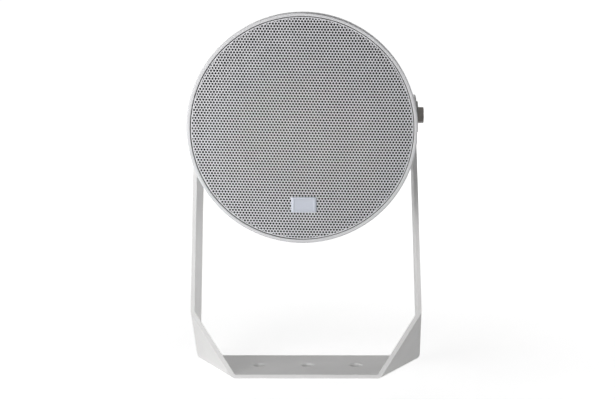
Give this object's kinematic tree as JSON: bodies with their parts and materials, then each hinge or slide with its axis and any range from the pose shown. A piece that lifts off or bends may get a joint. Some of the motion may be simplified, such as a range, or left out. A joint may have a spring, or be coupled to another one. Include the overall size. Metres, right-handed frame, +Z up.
{
  "type": "sound projector speaker",
  "caption": "Round sound projector speaker with a domed perforated grille, a cylindrical housing and a folded sheet bracket that lets it tilt.",
  "frame": {"origin": "centre of the middle base hole, on the outer face of the bracket's base", "axes": "+Z up from the bracket's base towards the speaker, -Y the way the grille looks, +X to the right as seen from the front"},
  "size_m": [0.2096, 0.2151, 0.327],
  "materials": {
    "bracket_paint": "off-white powder coat, satin",
    "shell_paint": "off-white powder coat on die-cast aluminium, satin",
    "ring_paint": "off-white powder coat on die-cast aluminium, satin",
    "grille_paint": "off-white powder coat on perforated sheet, satin",
    "plate_metal": "satin anodised, bare",
    "bolt_steel": "zinc plated, dulled",
    "washer_steel": "zinc plated",
    "screw_steel": "zinc plated",
    "friction_fibre": "dark friction material, matt",
    "seal_rubber": "black, matt",
    "basket_steel": "black enamel on pressed steel",
    "magnet_steel": "zinc plated, machined",
    "ferrite": "dark grey sintered, matt",
    "surround_cloth": "black doped cloth",
    "cone_paper": "dark grey pressed paper",
    "cap_paper": "dark grey pressed paper",
    "former_aluminium": "bright foil",
    "copper": "enamelled copper wire",
    "spider_cloth": "amber resin-treated cloth",
    "core_steel": "stacked laminations, varnished",
    "winding_tape": "yellow insulating tape",
    "strap_steel": "zinc plated",
    "block_plastic": "natural moulded plastic",
    "gland_plastic": "light grey moulded plastic"
  },
  "bodies": {
    "bracket": {"bracket": "bracket_paint", "pivot_washers": "washer_steel"},
    "speaker": {"pivot_bolts": "bolt_steel", "friction_discs": "friction_fibre", "housing": "shell_paint", "front_ring": "ring_paint", "ring_seal": "seal_rubber", "ring_screws": "screw_steel", "grille": "grille_paint", "badge_plate": "plate_metal", "driver_gasket": "seal_rubber", "driver_basket": "basket_steel", "driver_screws": "screw_steel", "magnet_top_plate": "magnet_steel", "magnet": "ferrite", "magnet_yoke": "magnet_steel", "surround": "surround_cloth", "spider": "spider_cloth", "rear_seal": "seal_rubber", "rear_cover": "shell_paint", "rear_cover_screws": "screw_steel", "transformer_core": "core_steel", "transformer_winding": "winding_tape", "transformer_strap": "strap_steel", "transformer_screws": "screw_steel", "terminal_block": "block_plastic", "gland_body": "gland_plastic", "gland_locknut": "gland_plastic", "gland_nut": "gland_plastic", "gland_seal": "seal_rubber"},
    "cone": {"cone": "cone_paper", "dust_cap": "cap_paper", "coil_former": "former_aluminium", "coil_winding": "copper"}
  },
  "joints": [
    {"name": "speaker_tilt", "type": "hinge", "parent": "bracket", "child": "speaker", "pos_m": [0, 0, 0.232], "axis": [1, 0, 0], "continuous": true},
    {"name": "cone_travel", "type": "slide", "parent": "speaker", "child": "cone", "axis": [0, -1, 0], "range_m": [-0.003, 0.003], "stiffness_N_per_m": 1500, "deforming": ["surround", "spider"]}
  ]
}
